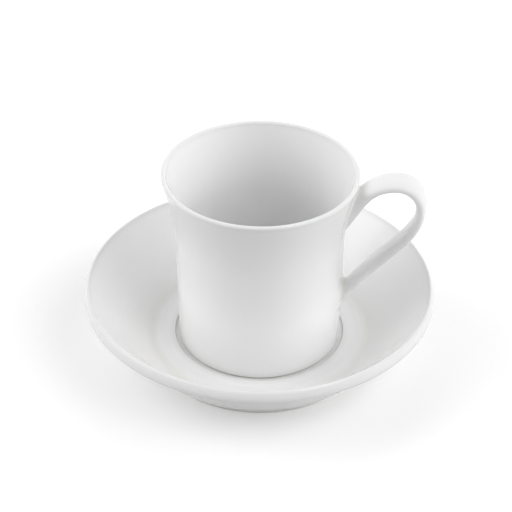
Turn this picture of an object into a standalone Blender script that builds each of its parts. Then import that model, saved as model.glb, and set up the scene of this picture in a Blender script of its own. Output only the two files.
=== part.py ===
# A coffee cup on its deep saucer, in plain glazed porcelain.
# The saucer and the cup body are turned about Z, and the handle is a strap cast by itself.
# Two thin layers of clay slip stick the handle to the cup. The cup lifts off the saucer along Z.
import math

import bmesh
import bpy
from mathutils import Vector

mm = 0.001

# Saucer, standing on its foot ring at Z = 0
saucer_radius = 74.2 * mm  # at the widest point of the lip
saucer_height = 34.0 * mm  # table to the crest of the lip
saucer_wall = 3.0 * mm
saucer_thickening = 1.6 * mm  # more wall towards the foot ring
lip_width = 4.5 * mm  # rolled lip, from the wall's inner edge to the widest point
lip_depth = 2.4 * mm  # wall's inner edge below the crest
lip_overhang = 1.9 * mm  # widest point beyond the crest
lip_drop = 3.9 * mm  # widest point below the crest
wall_slope = math.radians(49.0)
wall_rise = 14.0 * mm  # how far the wall runs straight below the lip
valley_run = 4.0 * mm  # how far the wall runs level out of the valley
valley_width = 5.8 * mm  # ring's edge to the bottom of the valley
valley_drop = 1.0 * mm  # bottom of the valley below the ring
ring_width = 4.5 * mm  # flat ring round the well
well_depth = 0.9 * mm
well_round = 0.4 * mm  # edge and inner corner of the well
well_clearance = 1.7 * mm  # well beyond the cup's base, all round
saucer_floor = 4.2 * mm  # thickness under the well
saucer_foot_radius = 46.4 * mm
saucer_foot_width = 3.0 * mm
saucer_foot_height = 4.0 * mm  # hollow under the floor
saucer_foot_round = 0.6 * mm

# Cup body, with its heights measured from its own foot
cup_height = 80.4 * mm
cup_rim_radius = 40.5 * mm
cup_body_radius = 35.2 * mm  # where the flare starts
cup_base_radius = 34.4 * mm
cup_base_round = 1.2 * mm
cup_wall = 2.6 * mm
cup_lip = 2.0 * mm  # thickness of the lip
flare_height = 29.0 * mm
flare_lean = math.radians(14.0)  # lean of the lip away from upright
flare_pull = 9.5 * mm  # softness of the flare's curve
cup_floor = 4.0 * mm
cup_corner = 9.0 * mm  # inside, between floor and wall
cup_foot_width = 2.6 * mm
cup_foot_hollow = 1.2 * mm

# Strap handle, on its middle line
upper_seat_drop = 17.0 * mm  # below the rim
lower_seat_height = 22.5 * mm
crown_rise = 0.9 * mm  # top of the strap above the rim
crown_reach = 21.4 * mm  # top of the strap out from the body
bend_reach = 30.6 * mm  # outermost bend out from the body
bend_drop = 10.0 * mm  # outermost bend below the crown
upper_seat_slope = math.radians(57.4)
lower_seat_slope = math.radians(60.2)
upper_run = 8.7 * mm  # pull of the curve at each end of its three spans
crown_run_in = 12.1 * mm
crown_run_out = 4.9 * mm
bend_run_in = 5.7 * mm
bend_run_out = 16.4 * mm
lower_run = 30.1 * mm
root_width = 13.5 * mm  # strap at the upper seat
strap_width = 11.7 * mm
foot_width = 10.7 * mm  # strap at the lower seat
strap_thickness = 4.4 * mm
root_fill = 4.0 * mm  # more thickness on the upper side of the root, under the flare
root_fill_run = 22.0 * mm  # where that has faded out
strap_squareness = 2.5  # 2 is an ellipse, more is a squarer strap

# Slip joints and the gaps between pieces
slip_thickness = 0.6 * mm
slip_bead = 0.6 * mm  # slip beyond the strap, all round
joint_gap = 0.3 * mm
rest_gap = 0.3 * mm  # cup's foot above the floor of the well

# Facets
turn_steps = 64
curve_steps = 10
round_steps = 2
span_steps = 12
strap_sides = 18

well_floor = saucer_foot_height + saucer_floor
ring_top = well_floor + well_depth
cup_seat = well_floor + rest_gap


def bezier(start, pull_start, pull_end, end, steps):
    points = []
    for step in range(steps + 1):
        t = step / steps
        u = 1.0 - t
        point = u ** 3 * start + 3.0 * u * u * t * pull_start + 3.0 * u * t * t * pull_end + t ** 3 * end
        points.append(point)
    return points


def quarter(start, corner, end, steps):
    # A round quarter between two sides that meet at the corner
    roundness = 0.5523
    pull_start = start.lerp(corner, roundness)
    pull_end = end.lerp(corner, roundness)
    return bezier(start, pull_start, pull_end, end, steps)


def without_repeats(points):
    kept = [points[0]]
    for point in points[1:]:
        if (point - kept[-1]).length > 0.001 * mm:
            kept.append(point)
    return kept


def porcelain(name, colour, roughness):
    material = bpy.data.materials.new(name)
    material.use_nodes = True
    shader = material.node_tree.nodes["Principled BSDF"]
    shader.inputs["Base Color"].default_value = (*colour, 1.0)
    shader.inputs["Roughness"].default_value = roughness
    shader.inputs["Metallic"].default_value = 0.0
    material.diffuse_color = (*colour, 1.0)
    return material


def add_object(name, mesh, material, parent=None):
    piece = bpy.data.objects.new(name, mesh)
    bpy.context.scene.collection.objects.link(piece)
    mesh.materials.append(material)
    piece.parent = parent
    return piece


def mesh_from(shape, name):
    bmesh.ops.remove_doubles(shape, verts=shape.verts, dist=0.001 * mm)
    bmesh.ops.recalc_face_normals(shape, faces=shape.faces)
    mesh = bpy.data.meshes.new(name)
    shape.to_mesh(mesh)
    shape.free()
    mesh.shade_smooth()
    mesh.set_sharp_from_angle(angle=math.radians(40.0))
    return mesh


def turned(name, profile):
    # Spins a profile of (radius, height) points about Z; it starts and ends on the axis
    shape = bmesh.new()
    points = [shape.verts.new((point.x, 0.0, point.y)) for point in without_repeats(profile)]
    edges = [shape.edges.new(pair) for pair in zip(points, points[1:])]
    bmesh.ops.spin(
        shape,
        geom=points + edges,
        cent=(0.0, 0.0, 0.0),
        axis=(0.0, 0.0, 1.0),
        angle=math.tau,
        steps=turn_steps,
        use_merge=True,
    )
    return mesh_from(shape, name)


def saucer_profile():
    well_radius = cup_base_radius + well_clearance
    ring_edge = well_radius + ring_width
    valley = Vector((ring_edge + valley_width, ring_top - valley_drop))
    widest = Vector((saucer_radius, saucer_height - lip_drop))
    crest = Vector((saucer_radius - lip_overhang, saucer_height))
    lip_inside = Vector((saucer_radius - lip_width, saucer_height - lip_depth))
    up_wall = Vector((math.cos(wall_slope), math.sin(wall_slope)))

    well = [Vector((0.0, well_floor))]
    well += quarter(
        Vector((well_radius - well_round, well_floor)),
        Vector((well_radius, well_floor)),
        Vector((well_radius, well_floor + well_round)),
        round_steps,
    )
    well += quarter(
        Vector((well_radius, ring_top - well_round)),
        Vector((well_radius, ring_top)),
        Vector((well_radius + well_round, ring_top)),
        round_steps,
    )
    ring = bezier(
        Vector((ring_edge, ring_top)),
        Vector((ring_edge + valley_width / 2.0, ring_top)),
        Vector((valley.x - valley_width / 2.0, valley.y)),
        valley,
        curve_steps // 2,
    )
    inside = bezier(
        valley,
        valley + Vector((valley_run, 0.0)),
        lip_inside - up_wall * wall_rise,
        lip_inside,
        curve_steps,
    )
    lip = quarter(lip_inside, lip_inside + up_wall * (lip_depth / up_wall.y), crest, 4)
    lip += quarter(crest, Vector((widest.x, crest.y)), widest, 5)

    # The underside runs one wall's thickness outside the inside curve, up to the roll of the lip
    underside = []
    for step in range(1, len(inside) - 2):
        along = (inside[step + 1] - inside[step - 1]).normalized()
        outward = Vector((along.y, -along.x))
        lowness = 1.0 - step / (len(inside) - 1)
        underside.append(inside[step] + outward * (saucer_wall + saucer_thickening * lowness ** 2))
    underside.reverse()
    roll_end = underside[0]
    roll = bezier(
        widest,
        widest - Vector((0.0, lip_drop / 2.0)),
        roll_end + up_wall * lip_drop / 2.0,
        roll_end,
        4,
    )
    foot_fillet = saucer_foot_height / 3.0
    underside = [point for point in underside if point.x > saucer_foot_radius + foot_fillet]

    foot_inside = saucer_foot_radius - saucer_foot_width
    foot_top = valley.y - saucer_wall - saucer_thickening
    foot = quarter(
        Vector((saucer_foot_radius + foot_fillet, foot_top)),
        Vector((saucer_foot_radius, foot_top)),
        Vector((saucer_foot_radius, foot_top - foot_fillet)),
        round_steps,
    )
    foot += quarter(
        Vector((saucer_foot_radius, saucer_foot_round)),
        Vector((saucer_foot_radius, 0.0)),
        Vector((saucer_foot_radius - saucer_foot_round, 0.0)),
        round_steps,
    )
    foot += quarter(
        Vector((foot_inside + saucer_foot_round, 0.0)),
        Vector((foot_inside, 0.0)),
        Vector((foot_inside, saucer_foot_round)),
        round_steps,
    )
    foot += quarter(
        Vector((foot_inside, saucer_foot_height - foot_fillet)),
        Vector((foot_inside, saucer_foot_height)),
        Vector((foot_inside - foot_fillet, saucer_foot_height)),
        round_steps,
    )
    foot.append(Vector((0.0, saucer_foot_height)))
    return well + ring + inside + lip + roll + underside + foot


def cup_flare(inset):
    # Outer wall from the start of the flare up to the lip, moved in by the inset
    start = Vector((cup_body_radius - inset, cup_height - flare_height))
    end = Vector((cup_rim_radius - inset, cup_height - cup_lip / 2.0))
    lean = Vector((math.sin(flare_lean), math.cos(flare_lean)))
    body_height = cup_height - flare_height - cup_base_round
    body = Vector((cup_body_radius - cup_base_radius, body_height)).normalized()
    return bezier(start, start + body * flare_pull, end - lean * flare_pull, end, curve_steps)


def cup_wall_radius(height):
    # Outer radius of the cup's wall at a height above its foot
    flare = cup_flare(0.0)
    if height <= flare[0].y:
        share = (height - cup_base_round) / (flare[0].y - cup_base_round)
        return cup_base_radius + share * (cup_body_radius - cup_base_radius)
    for lower, upper in zip(flare, flare[1:]):
        if height <= upper.y:
            share = (height - lower.y) / (upper.y - lower.y)
            return lower.x + share * (upper.x - lower.x)
    return flare[-1].x


def cup_profile():
    inner_base = cup_base_radius - cup_wall
    inside = [Vector((0.0, cup_floor))]
    inside += quarter(
        Vector((inner_base - cup_corner, cup_floor)),
        Vector((inner_base, cup_floor)),
        Vector((inner_base, cup_floor + cup_corner)),
        6,
    )
    outside = cup_flare(0.0)
    lip_inside = Vector((cup_rim_radius - cup_lip, cup_height - cup_lip / 2.0))
    flare_inside = cup_flare(cup_wall)
    thinning = lip_inside - flare_inside[-1]
    for step, point in enumerate(flare_inside):
        inside.append(point + thinning * step / (len(flare_inside) - 1))
    top = Vector((cup_rim_radius - cup_lip / 2.0, cup_height))
    lip = quarter(lip_inside, Vector((lip_inside.x, cup_height)), top, 3)
    lip += quarter(top, Vector((cup_rim_radius, cup_height)), outside[-1], 3)

    foot_outside = cup_base_radius - cup_base_round
    foot_inside = foot_outside - cup_foot_width
    outside.reverse()
    base = quarter(
        Vector((cup_base_radius, cup_base_round)),
        Vector((cup_base_radius, 0.0)),
        Vector((foot_outside, 0.0)),
        5,
    )
    base.append(Vector((foot_inside, 0.0)))
    base.append(Vector((foot_inside - cup_foot_hollow, cup_foot_hollow)))
    base.append(Vector((0.0, cup_foot_hollow)))
    return inside + lip + outside + base


def cup_envelope(grown):
    # The cup's outer form filled in, grown outward: it trims what sits on the wall
    outside = cup_flare(-grown)
    profile = [Vector((0.0, cup_height)), Vector((cup_rim_radius + grown, cup_height))]
    profile += reversed(outside)
    profile.append(Vector((cup_base_radius + grown, cup_base_round)))
    profile.append(Vector((0.0, cup_base_round)))
    return profile


def strap_path():
    # Middle line of the strap as (distance from the axis, height), with the tangent at each point
    upper_height = cup_height - upper_seat_drop
    upper_seat = Vector((cup_wall_radius(upper_height), upper_height))
    lower_seat = Vector((cup_wall_radius(lower_seat_height), lower_seat_height))
    crown = Vector((cup_body_radius + crown_reach, cup_height + crown_rise))
    bend = Vector((cup_body_radius + bend_reach, crown.y - bend_drop))
    level = Vector((1.0, 0.0))
    upright = Vector((0.0, 1.0))
    leave = Vector((math.cos(upper_seat_slope), math.sin(upper_seat_slope)))
    arrive = Vector((math.cos(lower_seat_slope), math.sin(lower_seat_slope)))
    path = bezier(upper_seat, upper_seat + leave * upper_run, crown - level * crown_run_in, crown, span_steps)
    path += bezier(crown, crown + level * crown_run_out, bend + upright * bend_run_in, bend, span_steps)[1:]
    path += bezier(bend, bend - upright * bend_run_out, lower_seat + arrive * lower_run, lower_seat, span_steps)[1:]
    # Both ends run on into the wall, where the envelope trims them
    path.insert(0, upper_seat - leave * strap_width)
    path.append(lower_seat - arrive * strap_width)
    return path


def strap_widths(path):
    # Wide at the upper seat, narrowing to the outer bend, then almost even to the lower seat
    lengths = [0.0]
    for before, after in zip(path, path[1:]):
        lengths.append(lengths[-1] + (after - before).length)
    widths = []
    for length in lengths:
        along = (length - lengths[1]) / (lengths[-2] - lengths[1])
        along = min(max(along, 0.0), 1.0)
        root_share = max(0.0, 1.0 - along / 0.5)
        foot_share = max(0.0, (along - 0.5) / 0.5)
        width = strap_width + (root_width - strap_width) * root_share + (foot_width - strap_width) * foot_share
        widths.append(width)
    return widths


def root_fills(path):
    # The root thickens under the flare, so that no narrow slot stays open above the upper seat
    fills = []
    length = 0.0
    for step, point in enumerate(path):
        if step > 1:
            length += (point - path[step - 1]).length
        fills.append(root_fill * max(0.0, 1.0 - length / root_fill_run) ** 1.5)
    return fills


def strap_mesh(name, first, last, extra):
    # Lofts the strap's section along part of its path, grown by the extra all round
    path = strap_path()
    widths = strap_widths(path)
    fills = root_fills(path)
    shape = bmesh.new()
    rings = []
    for step in range(first, last + 1):
        before = path[max(step - 1, 0)]
        after = path[min(step + 1, len(path) - 1)]
        along = (after - before).normalized()
        across = Vector((-along.y, along.x))
        ring = []
        for side in range(strap_sides):
            angle = math.tau * side / strap_sides
            power = 2.0 / strap_squareness
            wide = math.copysign(abs(math.cos(angle)) ** power, math.cos(angle))
            thick = math.copysign(abs(math.sin(angle)) ** power, math.sin(angle))
            half = strap_thickness / 2.0 + extra
            if thick > 0.0:
                half += fills[step]
            spot = path[step] + across * thick * half
            ring.append(shape.verts.new((spot.x, wide * (widths[step] / 2.0 + extra), spot.y)))
        rings.append(ring)
    for ring, following in zip(rings, rings[1:]):
        for side in range(strap_sides):
            after = (side + 1) % strap_sides
            shape.faces.new((ring[side], ring[after], following[after], following[side]))
    shape.faces.new(rings[0])
    shape.faces.new(list(reversed(rings[-1])))
    return mesh_from(shape, name)


def add_trim(piece, cutter, operation):
    trim = piece.modifiers.new(cutter.name, "BOOLEAN")
    trim.operation = operation
    trim.solver = "EXACT"
    trim.object = cutter


def add_cutter(name, grown, parent):
    cutter = bpy.data.objects.new(name, turned(name, cup_envelope(grown)))
    bpy.context.scene.collection.objects.link(cutter)
    cutter.parent = parent
    cutter.hide_render = True
    cutter.display_type = "WIRE"
    return cutter


def add_saucer():
    glaze = porcelain("saucer_glaze", (0.84, 0.84, 0.83), 0.14)
    add_object("saucer", turned("saucer", saucer_profile()), glaze)


def add_cup(lift):
    glaze = porcelain("cup_glaze", (0.84, 0.84, 0.83), 0.12)
    add_object("cup_body", turned("cup_body", cup_profile()), glaze, lift)


def add_handle(lift):
    glaze = porcelain("handle_glaze", (0.84, 0.84, 0.83), 0.13)
    last = len(strap_path()) - 1
    handle = add_object("handle", strap_mesh("handle", 0, last, 0.0), glaze, lift)
    seat = add_cutter("handle_seat", joint_gap + slip_thickness + joint_gap, lift)
    add_trim(handle, seat, "DIFFERENCE")


def add_slip_joints(lift):
    slip_inside = add_cutter("slip_inside", joint_gap, lift)
    slip_outside = add_cutter("slip_outside", joint_gap + slip_thickness, lift)
    last = len(strap_path()) - 1
    reach = span_steps // 2 + 1
    for name, first, end in (("upper_slip_joint", 0, reach), ("lower_slip_joint", last - reach, last)):
        slip = porcelain(name + "_glaze", (0.82, 0.82, 0.81), 0.2)
        joint = add_object(name, strap_mesh(name, first, end, slip_bead), slip, lift)
        add_trim(joint, slip_outside, "INTERSECT")
        add_trim(joint, slip_inside, "DIFFERENCE")


def main():
    for leftover in list(bpy.data.objects):
        bpy.data.objects.remove(leftover, do_unlink=True)
    lift = bpy.data.objects.new("cup_lift", None)
    lift.location = (0.0, 0.0, cup_seat)
    bpy.context.scene.collection.objects.link(lift)
    add_saucer()
    add_cup(lift)
    add_handle(lift)
    add_slip_joints(lift)


main()
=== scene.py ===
import math

import bpy
import numpy as np
from mathutils import Matrix, Vector


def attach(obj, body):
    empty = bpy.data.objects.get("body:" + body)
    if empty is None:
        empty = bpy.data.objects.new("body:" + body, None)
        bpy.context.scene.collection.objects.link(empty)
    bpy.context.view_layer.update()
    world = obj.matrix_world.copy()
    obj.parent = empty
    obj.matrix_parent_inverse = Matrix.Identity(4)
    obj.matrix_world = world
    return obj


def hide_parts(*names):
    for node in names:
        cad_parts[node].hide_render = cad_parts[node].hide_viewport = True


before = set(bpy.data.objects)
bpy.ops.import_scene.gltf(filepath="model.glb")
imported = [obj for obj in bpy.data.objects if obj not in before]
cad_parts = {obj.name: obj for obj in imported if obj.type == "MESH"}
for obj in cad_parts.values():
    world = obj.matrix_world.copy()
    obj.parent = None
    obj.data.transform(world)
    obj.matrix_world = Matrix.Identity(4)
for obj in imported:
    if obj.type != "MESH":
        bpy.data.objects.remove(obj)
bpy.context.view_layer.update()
scene = bpy.context.scene
print("frame loaded:", ", ".join(sorted(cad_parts)))

mm = 0.001
shotTurn = math.radians(9.1)  # the picture was taken a little round towards the handle
white = (1.0, 1.0, 1.0, 1.0)
colourA, colourB, colourResult = 6, 7, 2  # sockets of a mix node for colours
numberA, numberB = 2, 3  # and for plain numbers


# colour and node helpers

def toLinear(hexText):
    parts = [int(hexText[i:i + 2], 16) / 255.0 for i in (1, 3, 5)]
    linear = [p / 12.92 if p <= 0.04045 else ((p + 0.055) / 1.055) ** 2.4 for p in parts]  # the sRGB curve
    return (*linear, 1.0)


def addNode(tree, kind, settings=None, links=None):  # one node, its settings, and what feeds its sockets
    node = tree.nodes.new(kind)
    for key, value in (settings or {}).items():
        if isinstance(key, str) and hasattr(node, key):
            setattr(node, key, value)
        else:
            node.inputs[key].default_value = value
    for key, source in (links or {}).items():
        tree.links.new(source, node.inputs[key])
    return node


def newMaterial(name):
    material = bpy.data.materials.new(name)
    material.use_nodes = True
    material.node_tree.nodes.clear()
    return material, material.node_tree


def setRamp(node, stops):
    ramp = node.color_ramp
    while len(ramp.elements) < len(stops):
        ramp.elements.new(0.5)
    for element, (place, hexText) in zip(ramp.elements, stops):
        element.position = place
        element.color = toLinear(hexText)


# hard-paste porcelain, slip cast and dipped in a clear feldspar glaze:
# a bright white body under a glassy skin, painted a shade lighter on the saucer as painted light,
# a shade greyer where it ran thin on edges and all over the handle, partly thin glaze and partly painted
# shade, and a touch warm where it pooled
glaze = {
    "saucerBodyPaintedLighter": "#F6F6F6",
    "cupBody": "#F0F0F0",  # the cup's own white; the saucer's above is the same glaze painted lighter, as painted light
    # thin glaze on edges, and painted shade that dulls the lips' highlights and darkens the handle
    "thinEdgeAndPaintedShade": "#EAEAEA",
    "pool": "#EDECE7",
    "fullDepth": 0.4,  # glaze depth, either way from 0, at which the tint of a pool or an edge is full
    "cloud": "#F1F1F1",
    "cloudSize": 34.0,  # mm, slow change in the glaze's thickness
    "cloudRange": (0.35, 0.75),  # of the noise, from no cloud to the most
    "cloudMost": 0.6,
    "speck": "#CDCAC5",
    "speckSpacing": 17.0,  # mm between iron specks
    "speckRadius": 0.22,  # mm
    "speckFade": (1.3, 0.5),  # of that radius, from clear glaze to the most colour
    "speckMost": 0.45,
    "rippleSize": 7.0,  # mm, the slight orange peel of a run glaze
    "rippleDepth": 0.010,  # mm
    "ior": 1.52,
    "roughness": (0.06, 0.11),
}


def makeGlaze(name, body):
    g = glaze
    material, tree = newMaterial(name)
    place = addNode(tree, "ShaderNodeTexCoord").outputs["Object"]
    depth = addNode(tree, "ShaderNodeAttribute", {"attribute_name": "glazeDepth"}).outputs["Fac"]
    depthShare = addNode(tree, "ShaderNodeMapRange",
                         {"From Min": -g["fullDepth"], "From Max": g["fullDepth"]}, {"Value": depth})
    # the ramp's thin end is thin glaze and painted shade, its full end pooled glaze
    depthTint = addNode(tree, "ShaderNodeValToRGB", None, {"Fac": depthShare.outputs["Result"]})
    setRamp(depthTint, [(0.0, g["thinEdgeAndPaintedShade"]), (0.5, body), (1.0, g["pool"])])
    cloud = addNode(tree, "ShaderNodeTexNoise",
                    {"Scale": 1.0 / (g["cloudSize"] * mm), "Detail": 3.0}, {"Vector": place})
    clear, cloudy = g["cloudRange"]
    cloudShare = addNode(tree, "ShaderNodeMapRange",
                         {"From Min": clear, "From Max": cloudy, "To Max": g["cloudMost"]},
                         {"Value": cloud.outputs["Fac"]})
    clouded = addNode(tree, "ShaderNodeMix", {"data_type": "RGBA", colourB: toLinear(g["cloud"])},
                      {"Factor": cloudShare.outputs["Result"], colourA: depthTint.outputs["Color"]})
    speck = addNode(tree, "ShaderNodeTexVoronoi",
                    {"Scale": 1.0 / (g["speckSpacing"] * mm)}, {"Vector": place})
    speckEdge = g["speckRadius"] / g["speckSpacing"]
    outer, inner = (speckEdge * fade for fade in g["speckFade"])
    speckShare = addNode(tree, "ShaderNodeMapRange",
                         {"From Min": outer, "From Max": inner, "To Max": g["speckMost"]},
                         {"Value": speck.outputs["Distance"]})
    colour = addNode(tree, "ShaderNodeMix", {"data_type": "RGBA", colourB: toLinear(g["speck"])},
                     {"Factor": speckShare.outputs["Result"], colourA: clouded.outputs[colourResult]})
    ripple = addNode(tree, "ShaderNodeTexNoise",
                     {"Scale": 1.0 / (g["rippleSize"] * mm), "Detail": 2.0}, {"Vector": place})
    smooth, rough = g["roughness"]
    gloss = addNode(tree, "ShaderNodeMapRange", {"To Min": smooth, "To Max": rough},
                    {"Value": cloud.outputs["Fac"]})
    bump = addNode(tree, "ShaderNodeBump", {"Strength": 1.0, "Distance": g["rippleDepth"] * mm},
                   {"Height": ripple.outputs["Fac"]})
    shader = addNode(tree, "ShaderNodeBsdfPrincipled", {"IOR": g["ior"]},
                     {"Base Color": colour.outputs[colourResult], "Roughness": gloss.outputs["Result"],
                      "Normal": bump.outputs["Normal"]})
    addNode(tree, "ShaderNodeOutputMaterial", None, {"Surface": shader.outputs["BSDF"]})
    return material


# biscuit porcelain, wiped clean of glaze before firing so that the foot doesn't stick to the kiln shelf:
# chalky and a little warm, with a fine grain
biscuit = {
    "pale": "#EBE6DC",
    "dark": "#DDD5C7",
    "tintRange": (0.3, 0.6),  # of the grain's noise, from dark to pale
    "grainSize": 0.7,  # mm
    "grainDepth": 0.03,  # mm
    "grainStrength": 0.6,
    "ior": 1.5,
    "roughness": (0.62, 0.8),
}


def makeBiscuit(name):
    b = biscuit
    material, tree = newMaterial(name)
    place = addNode(tree, "ShaderNodeTexCoord").outputs["Object"]
    grain = addNode(tree, "ShaderNodeTexNoise",
                    {"Scale": 1.0 / (b["grainSize"] * mm), "Detail": 4.0}, {"Vector": place}).outputs["Fac"]
    tint = addNode(tree, "ShaderNodeValToRGB", None, {"Fac": grain})
    darkest, palest = b["tintRange"]
    setRamp(tint, [(darkest, b["dark"]), (palest, b["pale"])])
    smooth, rough = b["roughness"]
    dull = addNode(tree, "ShaderNodeMapRange", {"To Min": smooth, "To Max": rough}, {"Value": grain})
    bump = addNode(tree, "ShaderNodeBump",
                   {"Strength": b["grainStrength"], "Distance": b["grainDepth"] * mm}, {"Height": grain})
    shader = addNode(tree, "ShaderNodeBsdfPrincipled", {"IOR": b["ior"]},
                     {"Base Color": tint.outputs["Color"], "Roughness": dull.outputs["Result"],
                      "Normal": bump.outputs["Normal"]})
    addNode(tree, "ShaderNodeOutputMaterial", None, {"Surface": shader.outputs["BSDF"]})
    return material


# the saucer's body colour is painted lighter than the cup's, as painted light
glazedSaucer = makeGlaze("glazedPorcelainSaucer", glaze["saucerBodyPaintedLighter"])
glazedCup = makeGlaze("glazedPorcelainCup", glaze["cupBody"])
bareFoot = makeBiscuit("biscuitPorcelainFoot")
print("materials ready")


# outlines in millimetres, as (distance from the axis, height)
roundness = 0.5523  # pull towards its corner that makes a cubic curve a round quarter
samePoint = 1e-4  # mm, nearer neighbours count as one point
pooling = {"reach": 2.5, "slopeReach": 0.3}  # mm, for the glaze's depth and the outline's direction


def bezier(a, b, c, d, steps):
    t = np.linspace(0.0, 1.0, steps + 1)[:, None]
    a, b, c, d = (np.array(p, float) for p in (a, b, c, d))
    return (1 - t) ** 3 * a + 3 * (1 - t) ** 2 * t * b + 3 * (1 - t) * t ** 2 * c + t ** 3 * d


def quarter(start, corner, end, steps):  # a round quarter between two sides that meet at the corner
    start, corner, end = (np.array(p, float) for p in (start, corner, end))
    return bezier(start, start + (corner - start) * roundness, end + (corner - end) * roundness, end, steps)


def straight(start, end, steps):
    return np.linspace(np.array(start, float), np.array(end, float), steps + 1)


def joined(*runs):
    points = np.concatenate(runs)
    keep = np.ones(len(points), bool)
    keep[1:] = np.linalg.norm(np.diff(points, axis=0), axis=1) > samePoint
    return points[keep]


def unitRows(rows):
    return rows / np.linalg.norm(rows, axis=1)[:, None]


def lengthsAlong(line):  # how far along a line each of its points lies
    return np.concatenate([[0.0], np.cumsum(np.linalg.norm(np.diff(line, axis=0), axis=1))])


def between(where, lengths, rows):  # rows of values, read off at any length along their line
    return np.stack([np.interp(where, lengths, column) for column in rows.T], axis=-1)


def glazeDepthAlong(outline):  # above 0 in hollows, where glaze pools, below 0 on edges, where it runs thin and is tinted grey as painted shade
    lengths = lengthsAlong(outline)
    reach, slopeReach = pooling["reach"], pooling["slopeReach"]

    def shifted(shift):  # the outline's points, each moved along it
        return between(np.clip(lengths + shift, 0.0, lengths[-1]), lengths, outline)

    along = unitRows(shifted(slopeReach) - shifted(-slopeReach))
    outward = np.stack([-along[:, 1], along[:, 0]], axis=1)
    middle = (shifted(reach) + shifted(-reach)) / 2.0
    return ((middle - outline) * outward).sum(axis=1) / reach


def addMesh(name, points, faces, depth):
    mesh = bpy.data.meshes.new(name)
    mesh.from_pydata((np.asarray(points) * mm).tolist(), [], faces)
    stored = mesh.attributes.new("glazeDepth", "FLOAT", "POINT")
    stored.data.foreach_set("value", np.asarray(depth, np.float32))
    mesh.update()
    mesh.shade_smooth()
    piece = bpy.data.objects.new(name, mesh)
    scene.collection.objects.link(piece)
    return piece


def turnOutline(name, outline, turns, glazed, bareBelow):  # the outline runs from the axis back to the axis
    depth = glazeDepthAlong(outline)
    angles = np.arange(turns) * math.tau / turns
    points = [(0.0, 0.0, outline[0, 1])]
    depths = [depth[0]]
    for (radius, height), share in zip(outline[1:-1], depth[1:-1]):
        points += [(radius * math.cos(a), radius * math.sin(a), height) for a in angles]
        depths += [share] * turns
    points.append((0.0, 0.0, outline[-1, 1]))
    depths.append(depth[-1])
    rings = len(outline) - 2
    last = 1 + (rings - 1) * turns
    faces = []
    for turn in range(turns):
        after = (turn + 1) % turns
        faces.append((0, 1 + turn, 1 + after))
        for ring in range(rings - 1):
            low = 1 + ring * turns
            faces.append((low + turn, low + turns + turn, low + turns + after, low + after))
        faces.append((last + after, last + turn, len(points) - 1))
    piece = addMesh(name, points, faces, depths)
    piece.data.materials.append(glazed)
    piece.data.materials.append(bareFoot)
    for face in piece.data.polygons:
        if face.center.z < bareBelow * mm:
            face.material_index = 1
    return piece


# saucer: foot ring, well for the cup, low ring, valley, straight wall and rolled lip, in mm and degrees
saucer = {
    "radius": 74.2, "height": 34.0, "wall": 3.0, "thickening": 1.6, "wallSlope": 49.0, "wallRise": 14.0,
    "lipWidth": 4.5, "lipDepth": 2.4, "lipOverhang": 1.9, "lipDrop": 3.9,
    "rollPoints": 4,  # topmost points of the underside, given up to the lip's roll
    "wellRadius": 36.1, "wellFloor": 8.2, "ringTop": 9.1, "ringEdge": 40.6,
    "valley": (46.4, 8.1), "valleyRun": 4.0, "round": 0.4,
    "footRadius": 46.4, "footWidth": 3.0, "footHeight": 4.0, "footRound": 0.6,
    "filletRoom": 0.3,  # between the foot's fillet and the underside
    "bareBelow": 0.35,  # the foot ring has no glaze below this height
    "turns": 192,
    "steps": {"floor": 24, "edge": 5, "ring": 5, "slope": 14, "wall": 36, "lipInside": 14, "lipOutside": 12,
              "roll": 10, "fillet": 6, "ceiling": 12},
}


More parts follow.
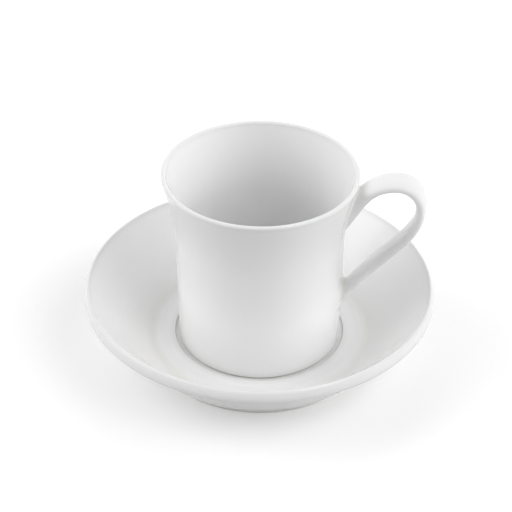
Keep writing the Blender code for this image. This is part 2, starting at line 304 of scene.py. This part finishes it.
def saucerOutline():
    s, steps = saucer, saucer["steps"]
    slope = math.radians(s["wallSlope"])
    upWall = np.array([math.cos(slope), math.sin(slope)])
    valley = np.array(s["valley"])
    widest = np.array([s["radius"], s["height"] - s["lipDrop"]])
    crest = np.array([s["radius"] - s["lipOverhang"], s["height"]])
    lipInside = np.array([s["radius"] - s["lipWidth"], s["height"] - s["lipDepth"]])
    lipCorner = lipInside + upWall * s["lipDepth"] / upWall[1]  # the wall's line at the crest's height
    halfDrop = s["lipDrop"] / 2.0
    well, floor, top, soft = s["wellRadius"], s["wellFloor"], s["ringTop"], s["round"]
    ringEnd = np.array([s["ringEdge"], top])
    halfSlope = [(valley[0] - s["ringEdge"]) / 2.0, 0.0]
    wallStart = lipInside - upWall * s["wallRise"]
    inside = bezier(valley, valley + [s["valleyRun"], 0.0], wallStart, lipInside, steps["wall"])
    along = unitRows(np.gradient(inside, axis=0))
    outward = np.stack([along[:, 1], -along[:, 0]], axis=1)
    lowness = np.linspace(1.0, 0.0, len(inside))[:, None]  # more wall towards the foot ring
    under = inside + outward * (s["wall"] + s["thickening"] * lowness ** 2)
    under = under[::-1][s["rollPoints"]:]
    foot, fillet = s["footRadius"], s["footHeight"] / 3.0  # fillets take a third of the foot ring's height
    footTop = valley[1] - s["wall"] - s["thickening"]
    under = under[under[:, 0] > foot + fillet + s["filletRoom"]]
    footIn, soften, ceiling = foot - s["footWidth"], s["footRound"], s["footHeight"]
    return joined(
        straight((0.0, floor), (well - soft, floor), steps["floor"]),
        quarter((well - soft, floor), (well, floor), (well, floor + soft), steps["edge"]),
        quarter((well, top - soft), (well, top), (well + soft, top), steps["edge"]),
        straight((well + soft, top), ringEnd, steps["ring"]),
        bezier(ringEnd, ringEnd + halfSlope, valley - halfSlope, valley, steps["slope"]),
        inside,
        quarter(lipInside, lipCorner, crest, steps["lipInside"]),
        quarter(crest, (widest[0], crest[1]), widest, steps["lipOutside"]),
        bezier(widest, widest - [0.0, halfDrop], under[0] + upWall * halfDrop, under[0], steps["roll"]),
        under,
        quarter((foot + fillet, footTop), (foot, footTop), (foot, footTop - fillet), steps["fillet"]),
        quarter((foot, soften), (foot, 0.0), (foot - soften, 0.0), steps["edge"]),
        quarter((footIn + soften, 0.0), (footIn, 0.0), (footIn, soften), steps["edge"]),
        quarter((footIn, ceiling - fillet), (footIn, ceiling), (footIn - fillet, ceiling), steps["fillet"]),
        straight((footIn - fillet, ceiling), (0.0, ceiling), steps["ceiling"]),
    )


saucerPiece = turnOutline("saucerBowl", saucerOutline(), saucer["turns"], glazedSaucer, saucer["bareBelow"])
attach(saucerPiece, "saucer")
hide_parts("saucer")
print("saucer turned:", len(saucerPiece.data.polygons), "faces")


# cup body, in mm and degrees: heights from its own foot, which stands at seat
cup = {
    "seat": 8.5, "height": 80.4, "rimRadius": 40.5, "bodyRadius": 35.2, "baseRadius": 34.4, "baseRound": 1.2,
    "wall": 2.6, "lip": 2.0, "flareHeight": 29.0, "flareLean": 14.0, "flarePull": 9.5,
    "floor": 4.0, "corner": 9.0, "footWidth": 2.6, "footHollow": 1.2,
    "footEdge": (0.4, 0.3),  # softened inner edge of the foot ring, along its flat and up its slope
    "bareBelow": 0.08,  # the foot ring has no glaze below this height
    "turns": 176,
    "steps": {"floor": 16, "corner": 18, "wallInside": 14, "flare": 30, "lip": 7, "wallOutside": 18,
              "base": 12, "foot": 3, "ceiling": 12},
}


def flareCurve(inset, steps):
    c = cup
    lean = math.radians(c["flareLean"])
    start = np.array([c["bodyRadius"] - inset, c["height"] - c["flareHeight"]])
    end = np.array([c["rimRadius"] - inset, c["height"] - c["lip"] / 2.0])
    body = np.array([c["bodyRadius"] - c["baseRadius"], start[1] - c["baseRound"]])
    body /= np.linalg.norm(body)
    leaning = np.array([math.sin(lean), math.cos(lean)])
    return bezier(start, start + body * c["flarePull"], end - leaning * c["flarePull"], end, steps)


def cupOutline():
    c, steps = cup, cup["steps"]
    corner, floor, top = c["corner"], c["floor"], c["height"]
    innerBase = c["baseRadius"] - c["wall"]
    floorEdge = innerBase - corner
    outside = flareCurve(0.0, steps["flare"])
    inside = flareCurve(c["wall"], steps["flare"])
    lipInside = np.array([c["rimRadius"] - c["lip"], top - c["lip"] / 2.0])
    inside = inside + (lipInside - inside[-1]) * np.linspace(0.0, 1.0, len(inside))[:, None]
    crest = (c["rimRadius"] - c["lip"] / 2.0, top)
    base, baseRound, hollow = c["baseRadius"], c["baseRound"], c["footHollow"]
    footOut = base - baseRound
    footIn = footOut - c["footWidth"]
    flat, rise = c["footEdge"]
    outline = joined(
        straight((0.0, floor), (floorEdge, floor), steps["floor"]),
        quarter((floorEdge, floor), (innerBase, floor), (innerBase, floor + corner), steps["corner"]),
        straight((innerBase, floor + corner), inside[0], steps["wallInside"]),
        inside,
        quarter(lipInside, (lipInside[0], top), crest, steps["lip"]),
        quarter(crest, (c["rimRadius"], top), outside[-1], steps["lip"]),
        outside[::-1],
        straight(outside[0], (base, baseRound), steps["wallOutside"]),
        quarter((base, baseRound), (base, 0.0), (footOut, 0.0), steps["base"]),
        straight((footOut, 0.0), (footIn + flat, 0.0), steps["foot"]),
        quarter((footIn + flat, 0.0), (footIn, 0.0), (footIn - rise, rise), steps["foot"]),
        straight((footIn - rise, rise), (footIn - hollow, hollow), steps["foot"]),
        straight((footIn - hollow, hollow), (0.0, hollow), steps["ceiling"]),
    )
    return outline + [0.0, c["seat"]]


cupPiece = turnOutline("cupBody", cupOutline(), cup["turns"], glazedCup, cup["seat"] + cup["bareBelow"])
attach(cupPiece, "cup")
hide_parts("cup_body")
print("cup turned:", len(cupPiece.data.polygons), "faces")


# strap handle, in mm and degrees, luted on with slip that leaves a soft fillet against the wall at both ends
strap = {
    "upperDrop": 17.0, "lowerHeight": 22.5, "upperSlope": 57.4, "lowerSlope": 60.2,
    "crownRise": 0.9, "crownReach": 21.4, "bendReach": 30.6, "bendDrop": 10.0,
    "upperRun": 8.7, "crownRunIn": 12.1,  # pull of the middle line at each end of its three curves
    "crownRunOut": 4.9, "bendRunIn": 5.7,
    "bendRunOut": 16.4, "lowerRun": 30.1,
    "buried": 12.0,  # middle line inside the wall at both ends
    "rootWidth": 13.5, "width": 11.7, "footWidth": 10.7, "thickness": 4.4,
    "squareness": 2.5,  # 2 is an ellipse, more is a squarer strap
    "rootFill": 4.0, "rootFillRun": 22.0, "rootFillFade": 1.5,  # thicker on top, fading along the strap
    "fillet": 2.6, "nookFillet": 3.6, "cornerFillet": 7.0,
    "filletSunk": 0.04, "rootSunk": 0.9,  # the fillet's thin rim and the closed end, below the wall's surface
    "searchFrom": 4.0, "upperSearch": 20.0, "lowerSearch": 9.0,  # where to look for the wall, along the strap
    "halvings": 40,
    "filletPool": 0.32, "paintedShadeDepth": -0.3, "edgeDepth": -0.1, "edgeSharpness": 8,  # how deep the glaze lies; the face's value greys the whole handle as painted shade, the side edges' adds thin glaze
    "sides": 48, "stations": 110, "filletRings": 7,
    "steps": {"wall": 60, "buried": 60, "root": 160, "crown": 120, "leg": 240},
}
outerWall = np.concatenate([[[cup["baseRadius"], cup["baseRound"]]], flareCurve(0.0, strap["steps"]["wall"])])


def wallRadius(height):  # the cup's outer radius at a height above the table
    return np.interp(height - cup["seat"], outerWall[:, 1], outerWall[:, 0])


def strapLine():  # the middle line, as lengths along it, points, directions and widths
    k, steps = strap, strap["steps"]
    rim = cup["seat"] + cup["height"]
    upperHeight, lowerHeight = rim - k["upperDrop"], cup["seat"] + k["lowerHeight"]
    upper = np.array([wallRadius(upperHeight), upperHeight])
    lower = np.array([wallRadius(lowerHeight), lowerHeight])
    crown = np.array([cup["bodyRadius"] + k["crownReach"], rim + k["crownRise"]])
    bend = np.array([cup["bodyRadius"] + k["bendReach"], crown[1] - k["bendDrop"]])
    leave, arrive = (np.array([math.cos(slope), math.sin(slope)])
                     for slope in (math.radians(k["upperSlope"]), math.radians(k["lowerSlope"])))
    line = joined(
        straight(upper - leave * k["buried"], upper, steps["buried"]),
        bezier(upper, upper + leave * k["upperRun"], crown - [k["crownRunIn"], 0.0], crown, steps["root"]),
        bezier(crown, crown + [k["crownRunOut"], 0.0], bend + [0.0, k["bendRunIn"]], bend, steps["crown"]),
        bezier(bend, bend - [0.0, k["bendRunOut"]], lower + arrive * k["lowerRun"], lower, steps["leg"]),
        straight(lower, lower - arrive * k["buried"], steps["buried"]),
    )
    lengths = lengthsAlong(line)
    along = unitRows(np.gradient(line, axis=0))
    share = np.clip((lengths - k["buried"]) / (lengths[-1] - 2.0 * k["buried"]), 0.0, 1.0)
    wide = np.interp(share, [0.0, 0.5, 1.0], [k["rootWidth"], k["width"], k["footWidth"]])
    return lengths, line, along, wide


strapLengths, strapMiddle, strapAlong, strapWide = strapLine()


def signedPower(value, power):
    return math.copysign(abs(value) ** power, value)


def onStrap(where, angle):  # a point on the strap's surface, at a length along it and an angle round it
    k = strap
    middle = between(where, strapLengths, strapMiddle)
    tangent = between(where, strapLengths, strapAlong)
    tangent /= np.linalg.norm(tangent)
    halfWidth = np.interp(where, strapLengths, strapWide) / 2.0
    halfThickness = k["thickness"] / 2.0
    if math.sin(angle) > 0.0:
        faded = np.clip(1.0 - (where - k["buried"]) / k["rootFillRun"], 0.0, 1.0)
        halfThickness += k["rootFill"] * faded ** k["rootFillFade"]
    power = 2.0 / k["squareness"]
    across = signedPower(math.cos(angle), power) * halfWidth
    raised = signedPower(math.sin(angle), power) * halfThickness
    return np.array([middle[0] - tangent[1] * raised, across, middle[1] + tangent[0] * raised])


def onWall(point, sunk):  # the same point moved to the cup's wall, or a little below its surface
    radius = wallRadius(point[2]) - sunk
    here = math.hypot(point[0], point[1])
    return np.array([point[0] * radius / here, point[1] * radius / here, point[2]])


def whereItMeets(angle, inner, outer):  # where a line along the strap comes out of the wall
    for _ in range(strap["halvings"]):
        half = (inner + outer) / 2.0
        point = onStrap(half, angle)
        if math.hypot(point[0], point[1]) > wallRadius(point[2]):
            outer = half
        else:
            inner = half
    return (inner + outer) / 2.0


def filletRun(angle, where, size, centre):  # from inside the wall, over the fillet and onto the strap
    k = strap
    meet = onStrap(where, angle)
    out = meet - centre
    normal = np.array([meet[0], meet[1], 0.0]) / math.hypot(meet[0], meet[1])
    out -= normal * (out @ normal)
    spread = onWall(meet + out / np.linalg.norm(out) * abs(size), k["filletSunk"])
    lifted = onStrap(where + size, angle)
    t = np.linspace(0.0, 1.0, k["filletRings"] + 1)[:, None]
    curve = (1 - t) ** 2 * spread + 2 * (1 - t) * t * meet + t ** 2 * lifted
    return np.concatenate([[onWall(spread, k["rootSunk"])], curve])


def strapColumn(angle):  # one line of points along the strap, from wall to wall, and the glaze depth at each
    k, total = strap, strapLengths[-1]
    upperCentre, lowerCentre = (
        onWall(np.array([strapMiddle[i, 0], 0.0, strapMiddle[i, 1]]), 0.0)
        for i in np.searchsorted(strapLengths, [k["buried"], total - k["buried"]]))
    nook = max(0.0, math.sin(angle))  # the narrow side between strap and flare holds more slip
    upperFillet = k["fillet"] + (k["nookFillet"] - k["fillet"]) * nook
    corner = max(0.0, -math.sin(angle))  # and so does the sharp corner at the loop's lower end
    lowerFillet = k["fillet"] + (k["cornerFillet"] - k["fillet"]) * corner
    first = whereItMeets(angle, k["searchFrom"], k["buried"] + k["upperSearch"])
    last = whereItMeets(angle, total - k["searchFrom"], total - k["buried"] - k["lowerSearch"])
    stations = np.linspace(first + upperFillet, last - lowerFillet, k["stations"] + 1)[1:-1]
    run = [onStrap(where, angle) for where in stations]
    upperEnd = filletRun(angle, first, upperFillet, upperCentre)
    lowerEnd = filletRun(angle, last, -lowerFillet, lowerCentre)
    pool = k["filletPool"] * np.sin(np.linspace(0.0, math.pi, k["filletRings"] + 1))
    pool = np.concatenate([[0.0], pool])
    edge = abs(math.cos(angle)) ** k["edgeSharpness"]
    # the handle's face is tinted grey as painted shade, its side edges a little more for thin glaze
    thinAndShaded = np.full(len(run), k["paintedShadeDepth"] + k["edgeDepth"] * edge)
    return np.concatenate([upperEnd, run, lowerEnd[::-1]]), np.concatenate([pool, thinAndShaded, pool[::-1]])


def makeHandle():
    sides = strap["sides"]
    columns, depths = zip(*[strapColumn(math.tau * (side + 0.5) / sides) for side in range(sides)])
    grid = np.stack(columns, axis=1)
    rows = len(grid)
    points = grid.reshape(-1, 3).tolist()
    depth = np.stack(depths, axis=1).reshape(-1).tolist()
    faces = []
    for row in range(rows - 1):
        low, high = row * sides, (row + 1) * sides
        for side in range(sides):
            after = (side + 1) % sides
            faces.append((low + side, low + after, high + after, high + side))
    for row in (0, rows - 1):  # both ends close inside the wall
        points.append(grid[row].mean(axis=0).tolist())
        depth.append(0.0)
        for side in range(sides):
            pair = [row * sides + (side + 1) % sides, row * sides + side]
            if row > 0:
                pair.reverse()
            faces.append((*pair, len(points) - 1))
    piece = addMesh("strapHandle", points, faces, depth)
    piece.data.materials.append(glazedCup)
    return piece


handlePiece = makeHandle()
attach(handlePiece, "cup")
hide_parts("handle", "upper_slip_joint", "lower_slip_joint")
print("handle lofted:", len(handlePiece.data.polygons), "faces")


# table, a wide sheet of matt white card, lit a little from below: an even white with no shine
table = {
    "colour": "#F9F9F9",
    "bounce": "#B5B5B5",  # how bright it counts for the light that it throws back at the porcelain
    "ownGlow": 0.17,
    "radius": 3.0,  # metres
    "rimPoints": 96,
}


def seenDirectly(tree):  # 1 for the camera's rays and for what shows in a reflection or through glass
    path = addNode(tree, "ShaderNodeLightPath").outputs
    mirrored = addNode(tree, "ShaderNodeMath", {"operation": "MAXIMUM"},
                       {0: path["Is Glossy Ray"], 1: path["Is Transmission Ray"]})
    return addNode(tree, "ShaderNodeMath", {"operation": "MAXIMUM"},
                   {0: path["Is Camera Ray"], 1: mirrored.outputs[0]}).outputs[0]


def makeTable():
    angles = np.linspace(0.0, math.tau, table["rimPoints"], endpoint=False)
    rim = [(table["radius"] * math.cos(a), table["radius"] * math.sin(a), 0.0) for a in angles]
    mesh = bpy.data.meshes.new("table")
    mesh.from_pydata(rim, [], [tuple(range(len(rim)))])
    sheet = bpy.data.objects.new("table", mesh)
    scene.collection.objects.link(sheet)
    material, tree = newMaterial("mattWhiteCard")
    seen = seenDirectly(tree)
    card = addNode(tree, "ShaderNodeBsdfDiffuse", {"Color": toLinear(table["colour"])})
    dimCard = addNode(tree, "ShaderNodeBsdfDiffuse", {"Color": toLinear(table["bounce"])})
    glow = addNode(tree, "ShaderNodeEmission", {"Color": white, "Strength": table["ownGlow"]})
    lit = addNode(tree, "ShaderNodeAddShader", None, {0: card.outputs[0], 1: glow.outputs[0]})
    mixed = addNode(tree, "ShaderNodeMixShader", None, {0: seen, 1: dimCard.outputs[0], 2: lit.outputs[0]})
    addNode(tree, "ShaderNodeOutputMaterial", None, {"Surface": mixed.outputs[0]})
    mesh.materials.append(material)
    return sheet


makeTable()
print("table laid")


# light tent: glowing cloth walls with a soft box behind some of them, and open on the camera's side
# azimuth 0 is the picture's right, 90 its back, 180 its left and 270 the camera's side, and power is in watts
tentGlows = [
    {"azimuth": 0, "elevation": 8, "strength": 0.85},
    {"azimuth": 0, "elevation": 30, "strength": 2.2},
    {"azimuth": 90, "elevation": 30, "strength": 1.8},
    {"azimuth": 180, "elevation": 8, "strength": 2.9},
    {"azimuth": 180, "elevation": 30, "strength": 0.75},
    {"azimuth": 180, "elevation": 55, "strength": 0.85},
    {"azimuth": 225, "elevation": 8, "strength": 0.35},
    {"azimuth": 315, "elevation": 8, "strength": 1.05},
    {"azimuth": 315, "elevation": 30, "strength": 0.83},
]
softBoxes = [
    {"name": "leftBox", "azimuth": 180, "elevation": 40, "power": 0.55},
    {"name": "frontRightBox", "azimuth": 315, "elevation": 50, "power": 1.27},
]
tent = {
    "distance": 1.1, "boxSize": 0.45, "aim": (0.0, 0.0, 0.04),  # metres
    "glowSpread": 8.0,  # power of the cosine, more is a narrower glow
}


def towards(lamp):
    turn = math.radians(lamp["azimuth"]) + shotTurn
    lift = math.radians(lamp["elevation"])
    return Vector((math.cos(turn) * math.cos(lift), math.sin(turn) * math.cos(lift), math.sin(lift)))


def addSoftBoxes():
    for box in softBoxes:
        lamp = bpy.data.lights.new(box["name"], "AREA")
        lamp.shape = "DISK"
        lamp.size = tent["boxSize"]
        lamp.energy = box["power"]
        holder = bpy.data.objects.new(box["name"], lamp)
        holder.location = Vector(tent["aim"]) + towards(box) * tent["distance"]
        holder.rotation_euler = (-towards(box)).to_track_quat("-Z", "Y").to_euler()
        scene.collection.objects.link(holder)


def addTent():  # the glows light the porcelain, and the walls themselves look plain white
    world = bpy.data.worlds.new("lightTent")
    scene.world = world
    world.use_nodes = True
    tree = world.node_tree
    tree.nodes.clear()
    place = addNode(tree, "ShaderNodeTexCoord").outputs["Generated"]
    total = None
    for glow in tentGlows:
        facing = addNode(tree, "ShaderNodeVectorMath", {"operation": "DOT_PRODUCT", 1: towards(glow)},
                         {0: place}).outputs["Value"]
        ahead = addNode(tree, "ShaderNodeMath", {"operation": "MAXIMUM", 1: 0.0}, {0: facing}).outputs[0]
        lobe = addNode(tree, "ShaderNodeMath", {"operation": "POWER", 1: tent["glowSpread"]},
                       {0: ahead}).outputs[0]
        links = {0: lobe, 2: total} if total else {0: lobe}
        total = addNode(tree, "ShaderNodeMath", {"operation": "MULTIPLY_ADD", 1: glow["strength"], 2: 0.0},
                        links).outputs[0]
    strength = addNode(tree, "ShaderNodeMix", {"data_type": "FLOAT", numberB: 1.0},
                       {"Factor": seenDirectly(tree), numberA: total})
    room = addNode(tree, "ShaderNodeBackground", {"Color": white}, {"Strength": strength.outputs[0]})
    addNode(tree, "ShaderNodeOutputWorld", None, {"Surface": room.outputs[0]})


addSoftBoxes()
addTent()
print("lights set:", len(softBoxes), "boxes,", len(tentGlows), "glows")


# camera, at the picture's own place: a long lens, looking down about 36 degrees, in mm and degrees
shot = {
    "away": 560.0, "height": 448.7, "aim": (-1.6, 0.0, 46.75), "roll": 0.44,
    "lens": 115.5, "sensor": 36.0, "nearest": 10.0,
}


def addCamera():
    turned = Matrix.Rotation(shotTurn, 3, "Z")
    place = turned @ Vector((0.0, -shot["away"], shot["height"]))
    aim = turned @ Vector(shot["aim"])
    ahead = (aim - place).normalized()
    right = ahead.cross(Vector((0.0, 0.0, 1.0))).normalized()
    up = right.cross(ahead)
    roll = math.radians(shot["roll"])
    tilted = right * math.cos(roll) + up * math.sin(roll)
    raised = up * math.cos(roll) - right * math.sin(roll)
    camera = bpy.data.objects.new("shotCamera", bpy.data.cameras.new("shotCamera"))
    camera.data.sensor_width = shot["sensor"]
    camera.data.sensor_fit = "HORIZONTAL"
    camera.data.lens = shot["lens"]
    camera.data.clip_start = shot["nearest"] * mm
    pointing = Matrix((tilted, raised, -ahead)).transposed().to_4x4()
    camera.matrix_world = Matrix.Translation(place * mm) @ pointing
    scene.collection.objects.link(camera)
    scene.camera = camera


addCamera()
scene.view_settings.view_transform = "Standard"
print("camera set")
